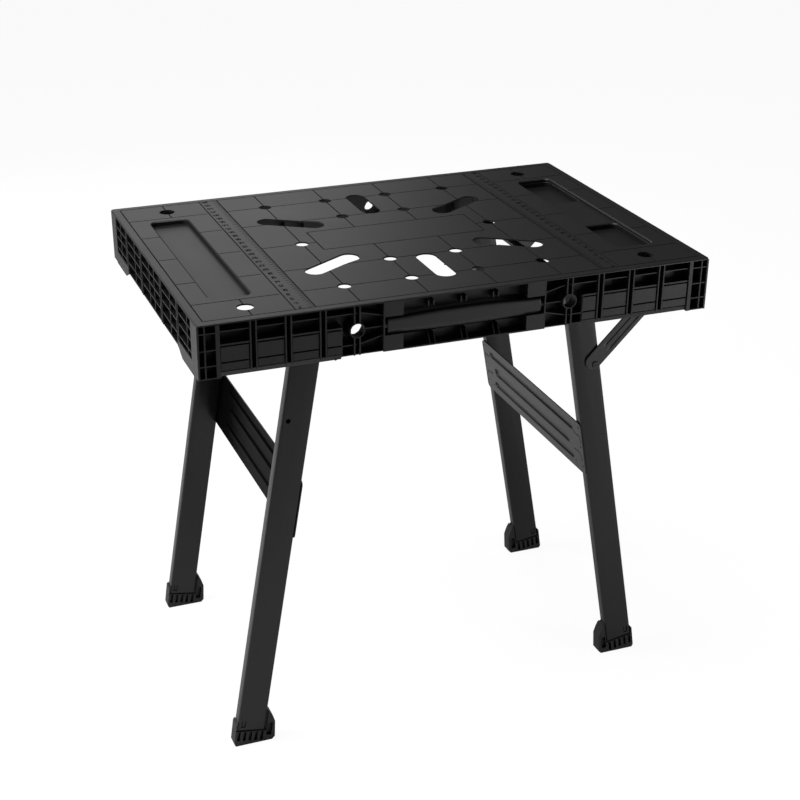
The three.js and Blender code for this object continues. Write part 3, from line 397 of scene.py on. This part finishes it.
def deckLines():
    # straight engraved lines as pairs of ends
    s = deckSizes
    rimX, rimY = s["rimLine"]
    panelX, panelLow, panelHigh = s["centrePanel"]
    outer, inner = s["rulerLines"]
    lines = [((-rimX, y), (rimX, y)) for y in (-rimY, rimY)]
    lines += [((x, -rimY), (x, rimY)) for x in (-rimX, rimX)]
    lines += [((-panelX, y), (panelX, y)) for y in (panelLow, panelHigh)]
    lines += [((x, panelLow), (x, panelHigh)) for x in (-panelX, panelX)]
    for side in (-1, 1):
        lines += [((side * x, -rimY), (side * x, rimY)) for x in (outer, inner)]
        lines.append(((side * 168, -rimY), (side * 168, rimY)))
        lines += [((side * 57, panelHigh), (side * 57, rimY)), ((side * 57, panelLow), (side * 57, -rimY))]
        lines += [((side * 336, end * 214), (side * 336, end * rimY)) for end in (-1, 1)]
        for y in (-214, -118, 0, 118, 214):
            lines.append(((side * (outer + 3), y), (side * rimX, y)))
        lines.append(((side * panelX, 0), (side * inner, 0)))
    lines += [((-inner, y), (inner, y)) for y in (-214, -118, 118, 214)]
    # this groove along the left tray's far rim is painted shade: it stands in for the shade along that rim
    lines.append(((-378.3, -190), (-378.3, 188)))
    return lines


# strokes of plain figures on a unit box, as pairs of ends
strokeEnds = {
    "top": ((0, 1), (1, 1)),
    "middle": ((0, 0.5), (1, 0.5)),
    "foot": ((0, 0), (1, 0)),
    "left": ((0, 0), (0, 1)),
    "right": ((1, 0), (1, 1)),
    "upLeft": ((0, 0.5), (0, 1)),
    "upRight": ((1, 0.5), (1, 1)),
    "downLeft": ((0, 0), (0, 0.5)),
    "downRight": ((1, 0), (1, 0.5)),
}
figureStrokes = {
    "0": ("top", "foot", "left", "right"),
    "1": ("right",),
    "2": ("top", "upRight", "middle", "downLeft", "foot"),
    "3": ("top", "middle", "foot", "right"),
    "4": ("upLeft", "middle", "right"),
    "5": ("top", "upLeft", "middle", "downRight", "foot"),
    "6": ("top", "left", "middle", "downRight", "foot"),
    "8": ("top", "middle", "foot", "left", "right"),
}


def rulerTicks():
    # long ticks every 10 mm with short ones between, on both strips
    s = deckSizes
    tickOut, tickIn = s["rulerTicks"]
    marks = []
    for side in (-1, 1):
        for y in range(-s["labelReach"], s["labelReach"] + 1, 5):
            tickEnd = tickOut if y % 10 == 0 else (tickOut + tickIn) / 2
            marks.append(((side * tickEnd, y), (side * tickIn, y)))
    return marks


def rulerFigures():
    # figures every 20 mm on both strips
    s = deckSizes
    width, height = s["digitSize"]
    pitch = width + s["digitGap"]
    marks = []
    for side in (-1, 1):
        for y in range(-s["labelReach"], s["labelReach"] + 1, s["labelStep"]):
            figures = str((y + 300) // 10)
            for place, figure in enumerate(figures):
                left = side * s["labelX"] - (len(figures) * pitch - s["digitGap"]) / 2 + place * pitch
                for stroke in figureStrokes[figure]:
                    marks.append([(left + a * width, y - height / 2 + b * height) for a, b in strokeEnds[stroke]])
    return marks


def paintTrayWallShade(obj):
    # steep faces inside the trays get painted shade, the same dark copy as the hole walls
    count = len(obj.data.polygons)
    centres, normals = np.zeros(count * 3, np.float32), np.zeros(count * 3, np.float32)
    finish = np.zeros(count, np.int32)
    obj.data.polygons.foreach_get("center", centres)
    obj.data.polygons.foreach_get("normal", normals)
    obj.data.polygons.foreach_get("material_index", finish)
    place, steep = centres.reshape(-1, 3) / mm, np.abs(normals.reshape(-1, 3)[:, 2]) < 0.3
    reach = deckSizes["trayWidth"] / 2 + 0.5
    walls = steep & (np.abs(np.abs(place[:, 0]) - 344.5) < reach) & (np.abs(place[:, 1]) < 200.5)
    finish[walls] = obj.data.materials.find("paintedRecessShade")
    obj.data.polygons.foreach_set("material_index", finish)


def makeDeck():
    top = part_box("deck")[1][2] / mm
    s = deckSizes
    obj = solidCopy("deckMoulding", "deck", materials["deckBlack"])
    # the walls of the holes and slots get painted shade
    cutOut(obj, joinSkins(deckShafts(top)), materials["paintedRecessShade"])
    cutOut(obj, joinSkins(trayCutters(top)), materials["deckBlack"])
    # the engraved lines and ruler marks get painted shade in their grooves
    lines = [groove(a, b, s["lineWidth"], s["lineDepth"], top) for a, b in clippedLines(deckLines())]
    cutOut(obj, joinSkins(lines), materials["paintedGrooveShade"])
    marks = [groove(a, b, s["markWidth"], s["markDepth"], top) for a, b in rulerTicks()]
    marks += [groove(a, b, s["figureWidth"], s["figureDepth"], top) for a, b in rulerFigures()]
    cutOut(obj, joinSkins(marks), materials["paintedGrooveShade"])
    paintTrayWallShade(obj)
    shadeBy(obj, 40)
    # level faces stay flat, so that the long engraved outlines leave no smears
    normals = np.zeros(len(obj.data.polygons) * 3, np.float32)
    obj.data.polygons.foreach_get("normal", normals)
    obj.data.polygons.foreach_set("use_smooth", np.abs(normals.reshape(-1, 3)[:, 2]) < 0.9)
    return settlePiece(obj, "top", ["deck"])


makeDeck()
print("deck engraved")

# ---- walls: softened copies
edgeRounds = {"apron": 0.35, "leg": 0.3, "foot": 0.35}

ringHoles = {
    "front_left_apron": [-177.0],
    "front_right_apron": [177.0],
    "rear_apron": [-54.0, 54.0],
}
ringSizes = {"height": 738.0, "reach": 13.4, "bore": 10.0}


def paintRingBoreShade(obj, places):
    # painted shade on the bore faces of the ring holes: close to the axis, and facing it
    count = len(obj.data.polygons)
    centres, normals = np.zeros(count * 3, np.float32), np.zeros(count * 3, np.float32)
    obj.data.polygons.foreach_get("center", centres)
    obj.data.polygons.foreach_get("normal", normals)
    across = centres.reshape(-1, 3)[:, [0, 2]] / mm
    facing = normals.reshape(-1, 3)[:, [0, 2]]
    finish = np.zeros(count, np.int32)
    for x in places:
        offset = across - (x, ringSizes["height"])
        far = np.hypot(*offset.T)
        inward = -(offset * facing).sum(1) / np.maximum(far, 0.01)
        finish[(far < ringSizes["reach"]) & (inward > 0.5)] = 1
    obj.data.materials.append(materials["paintedRecessShade"])
    obj.data.polygons.foreach_set("material_index", finish)


endWalls = {"left_end_apron": -1, "right_end_apron": 1}
bayDepth = 2.5


def paintBayShade(obj, side):
    # painted shade on the faces of an end wall that lie deeper than its rib edges
    count = len(obj.data.polygons)
    centres = np.zeros(count * 3, np.float32)
    obj.data.polygons.foreach_get("center", centres)
    out = side * centres.reshape(-1, 3)[:, 0] / mm
    obj.data.materials.append(materials["paintedRecessShade"])
    obj.data.polygons.foreach_set("material_index", (out < out.max() - bayDepth).astype(np.int32))


for node in ("front_left_apron", "front_right_apron", "handle_recess", "rear_apron", "left_end_apron", "right_end_apron"):
    wall = softened(node, materials["mouldedBlack"], "top", edgeRounds["apron"])
    if node in ringHoles:
        paintRingBoreShade(wall, ringHoles[node])
    if node in endWalls:
        paintBayShade(wall, endWalls[node])
print("walls softened")

# ---- carrying bar
barSizes = {
    "endRise": (11.3, 14.5),
    "middleRise": (14.3, 16.5),
    "sink": 2.0,
    "bowFrom": 30.0,
    "bowTo": 118.0,
    "half": 128.3,
    "depth": 7.0,
    "squareness": 5.0,
    "creaseAt": -0.5,
    "creaseCut": 3.0,
    "endRound": 2.2,
    "tenonRadius": 5.5,
}


def makeBar():
    # squarish ring carried along X: its heights above and below the axis swell in the middle, and the lower front
    # leans back below a crease
    b = barSizes
    low, high = (np.array(c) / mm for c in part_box("handle"))
    middleY, middleZ = (low[1] + high[1]) / 2, (low[2] + high[2]) / 2 - b["sink"]
    run = np.linspace(-math.pi / 2, math.pi / 2, 97)
    x = b["half"] * np.sin(run)
    bow = np.clip((b["bowTo"] - np.abs(x)) / (b["bowTo"] - b["bowFrom"]), 0, 1)
    bow = bow * bow * (3 - 2 * bow)
    rises = [end + (middle - end) * bow for end, middle in zip(b["endRise"], b["middleRise"])]
    inset = np.clip((np.abs(x) - b["half"] + b["endRound"]) / b["endRound"], 0, 1)
    shrink = b["endRound"] * (1 - np.sqrt(1 - 0.92 * inset ** 2))
    turn = np.linspace(0, 2 * math.pi, 64, endpoint=False)
    power = 2 / b["squareness"]
    across = np.sign(np.cos(turn)) * np.abs(np.cos(turn)) ** power
    up = np.sign(np.sin(turn)) * np.abs(np.sin(turn)) ** power
    depth = across[None] * (b["depth"] - shrink)[:, None]
    height = up[None] * np.where(up > 0, (rises[0] - shrink)[:, None], (rises[1] - shrink)[:, None])
    below = np.clip(b["creaseAt"] - up, 0, 1) / (1 + b["creaseAt"])
    depth = depth - np.where(across > 0, below * b["creaseCut"], 0)[None]
    rings = np.stack([np.broadcast_to(x[:, None], depth.shape), middleY - depth, middleZ + height], -1)
    skins = [ringSkin(rings * mm)]
    for side in (-1, 1):
        ends = [side * (b["half"] - 4), side * high[0]]
        ring = [[[e, middleY + b["tenonRadius"] * math.cos(t), middleZ + b["tenonRadius"] * math.sin(t)] for t in turn[::2]]
                for e in sorted(ends)]
        skins.append(ringSkin(np.array(ring) * mm))
    obj = meshObject("carryingBar", joinSkins(skins))
    obj.data.materials.append(materials["gripBlack"])
    shadeBy(obj, 28)
    return settlePiece(obj, "top", ["handle"])


makeBar()
print("bar made")

# ---- legs and feet
for end in ("left", "right"):
    for row in ("front", "rear"):
        softened(f"{end}_{row}_leg", materials["tubePaint"], end + "_legs", edgeRounds["leg"])
        softened(f"{end}_{row}_foot", materials["footBlack"], end + "_legs", edgeRounds["foot"], clamp=True)
print("legs softened")

# ---- pressed plates: struts and braces
strutSizes = {
    "width": 29.3,
    "thick": 3.0,
    "past": -1.8,
    "rivetOff": 6.0,
    "edge": 0.9,
    "grooves": (-5.2, 5.2),
    "grooveHalf": 2.4,
    "grooveDepth": 1.3,
    "grooveFrom": 16.0,
    "grooveEnd": 30.0,
    "hole": 4.25,
}


def eased(value):
    # soft step from 0 to 1
    t = np.clip(value, 0, 1)
    return t * t * (3 - 2 * t)


def strutSkin(run):
    # round-ended plate on a grid of stations and places across: the outer skin dips in two long grooves, and both
    # skins fall away at the edge
    s = strutSizes
    radius = s["width"] / 2
    arc = np.linspace(0, math.pi / 2, 14)
    u = np.concatenate([-radius * np.cos(arc), np.linspace(0, run, 60)[1:-1], run + radius * np.sin(arc)])
    out = np.clip(np.maximum(-u, u - run), 0, radius * 0.9995)
    half = np.sqrt(radius ** 2 - out ** 2)
    v = half[:, None] * np.linspace(-1, 1, 61)[None]
    fall = s["edge"] * 0.5 * (1 - eased((half[:, None] - np.abs(v)) / s["edge"]))
    reach = eased((u - s["grooveFrom"]) / 6) * eased((run - s["grooveEnd"] - u) / 6)
    dip = sum(eased((s["grooveHalf"] - np.abs(v - g)) / (0.6 * s["grooveHalf"])) for g in s["grooves"])
    outer = s["thick"] / 2 - s["grooveDepth"] * dip * reach[:, None] - fall
    inner = fall - s["thick"] / 2
    station = np.broadcast_to(u[:, None], v.shape)
    face = np.stack([station, v, outer], -1)
    back = np.stack([station, v, inner], -1)[:, ::-1]
    return ringSkin(np.concatenate([face, back[:, 1:-1]], 1))


def middleOf(node):
    low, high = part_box(node)
    return (np.array(low) + np.array(high)) / 2 / mm


def makeStrut(label, body):
    # plate from its bracket pin towards its leg rivet, in the plane of the two
    s = strutSizes
    pin, rivet, middle = (middleOf(label + tail) for tail in ("_strut_pin", "_strut_rivet", "_strut"))
    span = math.hypot(rivet[0] - pin[0], rivet[2] - pin[2])
    sx, sy = np.sign(pin[0]), np.sign(pin[1])
    turn = math.atan2(rivet[2] - pin[2], sx * (rivet[0] - pin[0])) - math.asin(s["rivetOff"] / span)
    axes = np.array([
        (sx * math.cos(turn), 0, math.sin(turn)),
        (-sx * math.sin(turn), 0, math.cos(turn)),
        (0, sy, 0),
    ])
    points, faces = strutSkin(math.sqrt(span ** 2 - s["rivetOff"] ** 2) + s["past"])
    base = np.array([pin[0], middle[1], pin[2]])
    obj = meshObject(label + "StrutPlate", ((base + points @ axes) * mm, faces))
    obj.data.materials.append(materials["strutPaint"])
    for place in (pin, rivet):
        round = circleLine(place[0], place[2], s["hole"], 0, 24)
        ends = [middle[1] - 5, middle[1] + 5]
        cutOut(obj, ringSkin([np.column_stack([round[:, 0], np.full(24, y), round[:, 1]]) * mm for y in ends]), materials["strutPaint"])
    shadeBy(obj, 30)
    return settlePiece(obj, body, [label + "_strut"])


braceSizes = {
    "tilt": math.radians(9.65),
    "top": 246.47,
    "width": 100.5,
    "corner": 8.0,
    "inward": -26.3,
    "thick": 2.0,
    "beads": [(19.0, 12.0, 33.0), (49.5, 19.0, 48.0), (79.5, 13.0, 40.0)],
    "beadDepth": 3.0,
    "beadWall": 2.6,
    "beadSpan": 209.0,
    "tabLines": [
        [(-39, 13), (-27, 26.5), (-7.5, 25.5), (-5, 38)],
        [(-33, 60.5), (-12, 61.5), (-6, 74.5)],
    ],
    "tabLine": 1.3,
    "tabDepth": 0.9,
    "dots": [(-7.5, 9.5), (-7, 46.5), (-33, 85.5), (-6, 84.5)],
    "dotRadius": 2.4,
}


def segmentDistance(y, d, a, b):
    # distance from places on the plate to a straight piece of line
    a, b = np.array(a, float), np.array(b, float)
    run = b - a
    t = np.clip(((y - a[0]) * run[0] + (d - a[1]) * run[1]) / (run @ run), 0, 1)
    return np.hypot(y - a[0] - t * run[0], d - a[1] - t * run[1])


def braceSkin(half):
    # plate on a grid of places across the bench and down the leg: it rises in long beads, and its inward face dips
    # along the tab lines and in the rivet dots at both ends
    s = braceSizes
    ends = np.arange(half, 158, -1.0)
    y0 = np.concatenate([-ends, np.linspace(-158, 158, 34)[1:-1], ends[::-1]])
    d0 = np.linspace(0, s["width"], 116)
    rim = np.minimum(d0, s["width"] - d0)
    short = s["corner"] - np.sqrt(s["corner"] ** 2 - np.clip(s["corner"] - rim, 0, s["corner"]) ** 2)
    y = y0[:, None] * (1 - short / half)[None]
    d = np.broadcast_to(d0[None], y.shape)
    rise = np.zeros(y.shape)
    for drop, width, margin in s["beads"]:
        past = np.maximum(np.abs(y) - (s["beadSpan"] - margin - width / 2), 0)
        rise = np.maximum(rise, eased((width / 2 - np.hypot(past, d - drop)) / s["beadWall"]))
    mirrored = half - np.abs(y)
    dip = np.zeros(y.shape)
    for line in s["tabLines"]:
        for a, b in zip(line[:-1], line[1:]):
            gap = segmentDistance(-mirrored, d, a, b)
            dip = np.maximum(dip, eased((s["tabLine"] - gap) / 0.9))
    for place, drop in s["dots"]:
        dip = np.maximum(dip, eased((s["dotRadius"] - np.hypot(place + mirrored, d - drop)) / 1.0))
    inner = s["inward"] + s["beadDepth"] * rise + s["tabDepth"] * dip
    outer = s["inward"] + s["thick"] + s["beadDepth"] * rise
    face = np.stack([y, d, inner], -1)
    back = np.stack([y, d, outer], -1)[:, ::-1]
    return ringSkin(np.concatenate([face, back], 1))


def makeBrace(end, sign):
    s = braceSizes
    low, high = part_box(end + "_brace")
    pivot = middleOf("right_axle") if end == "right" else middleOf("left_front_pin")
    points, faces = braceSkin((high[1] - low[1]) / 2 / mm)
    y, down, across = points[:, 0], points[:, 1] + s["top"], points[:, 2]
    sine, cosine = math.sin(s["tilt"]), math.cos(s["tilt"])
    x = pivot[0] + sign * (down * sine + across * cosine)
    z = pivot[2] - down * cosine + across * sine
    obj = meshObject(end + "BracePlate", (np.column_stack([x, sign * y, z]) * mm, faces))
    obj.data.materials.append(materials["sheetPaint"])
    obj.data.materials.append(materials["paintedShadeSheetBack"])
    # the outward faces of the brace take the shaded copy of the sheet paint: painted shade
    normals = np.zeros(len(obj.data.polygons) * 3, np.float32)
    obj.data.polygons.foreach_get("normal", normals)
    outward = normals.reshape(-1, 3)[:, 0] * sign > 0.3
    obj.data.polygons.foreach_set("material_index", outward.astype(np.int32))
    shadeBy(obj, 38)
    return settlePiece(obj, end + "_legs", [end + "_brace"])


for end, sign in (("left", -1), ("right", 1)):
    makeBrace(end, sign)
for label, body in (("right_front", "right_struts"), ("right_rear", "right_struts"), ("left_rear", "left_strut")):
    makeStrut(label, body)
print("plates pressed")

plainNodes = {
    "mouldedBlack": ["right_front_guide", "right_rear_guide", "left_front_guide", "left_rear_guide"],
    "slideBlack": ["right_front_bush", "right_rear_bush", "left_front_bush", "left_rear_bush"],
    "tubePaint": ["right_front_strut_bracket", "right_rear_strut_bracket", "left_rear_strut_bracket"],
    "platedSteel": [
        "right_axle", "left_front_pin", "left_rear_pin",
        "right_front_strut_rivet", "right_rear_strut_rivet", "left_rear_strut_rivet",
        "right_front_strut_pin", "right_rear_strut_pin", "left_rear_strut_pin",
    ],
}
for finish, names in plainNodes.items():
    for node in names:
        nodes[node].data.materials.clear()
        nodes[node].data.materials.append(materials[finish])


# ---- floor, light and camera
def makeFloor():
    mesh = bpy.data.meshes.new("floor")
    reach = 12.0
    mesh.from_pydata([(-reach, -reach, 0), (reach, -reach, 0), (reach, reach, 0), (-reach, reach, 0)], [], [(0, 1, 2, 3)])
    obj = bpy.data.objects.new("floor", mesh)
    bpy.context.scene.collection.objects.link(obj)
    material = bpy.data.materials.new("paleFloor")
    material.use_nodes = True
    tree = material.node_tree
    tree.nodes["Principled BSDF"].inputs["Base Color"].default_value = (0.9, 0.9, 0.9, 1)
    tree.nodes["Principled BSDF"].inputs["Roughness"].default_value = 0.9
    glow = tree.nodes.new("ShaderNodeEmission")
    glow.inputs["Strength"].default_value = 1.17
    rays = tree.nodes.new("ShaderNodeLightPath")
    mirrored = tree.nodes.new("ShaderNodeMath")
    mirrored.operation = "MAXIMUM"
    tree.links.new(rays.outputs["Is Glossy Ray"], mirrored.inputs[0])
    tree.links.new(rays.outputs["Is Transmission Ray"], mirrored.inputs[1])
    seen = tree.nodes.new("ShaderNodeMath")
    seen.operation = "MULTIPLY_ADD"
    seen.inputs[1].default_value = 0.15
    tree.links.new(mirrored.outputs[0], seen.inputs[0])
    tree.links.new(rays.outputs["Is Camera Ray"], seen.inputs[2])
    share = tree.nodes.new("ShaderNodeMath")
    share.operation = "MULTIPLY"
    share.inputs[1].default_value = 0.8
    tree.links.new(seen.outputs[0], share.inputs[0])
    mix = tree.nodes.new("ShaderNodeMixShader")
    tree.links.new(share.outputs[0], mix.inputs[0])
    tree.links.new(tree.nodes["Principled BSDF"].outputs[0], mix.inputs[1])
    tree.links.new(glow.outputs[0], mix.inputs[2])
    tree.links.new(mix.outputs[0], tree.nodes["Material Output"].inputs["Surface"])
    mesh.materials.append(material)


def makeWorld(strength):
    world = bpy.data.worlds.new("studio")
    bpy.context.scene.world = world
    world.use_nodes = True
    tree = world.node_tree
    plain = tree.nodes["Background"]
    plain.inputs["Color"].default_value = (1, 1, 1, 1)
    plain.inputs["Strength"].default_value = strength
    white = tree.nodes.new("ShaderNodeBackground")
    white.inputs["Color"].default_value = (1, 1, 1, 1)
    white.inputs["Strength"].default_value = 1.0
    rays = tree.nodes.new("ShaderNodeLightPath")
    mix = tree.nodes.new("ShaderNodeMixShader")
    tree.links.new(rays.outputs["Is Camera Ray"], mix.inputs[0])
    tree.links.new(plain.outputs[0], mix.inputs[1])
    tree.links.new(white.outputs[0], mix.inputs[2])
    tree.links.new(mix.outputs[0], tree.nodes["World Output"].inputs["Surface"])


lamps = {
    "backPanel": {"place": (0, 3.0, 1.7), "aim": (0, 0, 0.7), "size": 2.0, "power": 7.8},
    "backSide": {"place": (0.5, 3.0, 1.7), "aim": (0, 0, 0.7), "size": 1.6, "power": 2.3},
    "leftPanel": {"place": (-2.8, 1.0, 1.5), "aim": (0, 0, 0.6), "size": 1.8, "power": 40},
    "leftKey": {"place": (-1.4, -0.2, 1.28), "aim": (-0.1, 0, 0.7), "size": 0.5, "power": 7},
    "topPanel": {"place": (-0.4, 0, 2.6), "aim": (-0.2, 0, 0.7), "size": 1.2, "power": 19},
    "lowFill": {"place": (1.6, -1.6, 0.5), "aim": (0.2, 0, 0.5), "size": 0.8, "power": 8.2},
}


def makeLamps():
    for name, lamp in lamps.items():
        light = bpy.data.lights.new(name, "AREA")
        light.energy = lamp["power"]
        light.size = lamp["size"]
        obj = bpy.data.objects.new(name, light)
        bpy.context.scene.collection.objects.link(obj)
        place = np.array(lamp["place"])
        away = place - np.array(lamp["aim"])
        flat = math.hypot(away[0], away[1])
        obj.location = place
        obj.rotation_euler = (math.atan2(flat, away[2]), 0, math.atan2(away[1], away[0]) + math.pi / 2)


cameraView = {"place": (-0.92829, -2.44392, 1.64105), "pitch": -24.1086, "yaw": 20.8805, "roll": -0.0497, "lens": 73.18}


def makeCamera():
    view = cameraView
    lens = bpy.data.cameras.new("photoView")
    lens.lens = view["lens"]
    lens.sensor_width = 36
    obj = bpy.data.objects.new("photoView", lens)
    bpy.context.scene.collection.objects.link(obj)
    obj.location = view["place"]
    obj.rotation_euler = (math.radians(90 + view["pitch"]), math.radians(view["roll"]), -math.radians(view["yaw"]))
    bpy.context.scene.camera = obj


makeFloor()
makeWorld(0.075)
makeLamps()
makeCamera()
bpy.context.scene.view_settings.view_transform = "Standard"
print("studio ready")
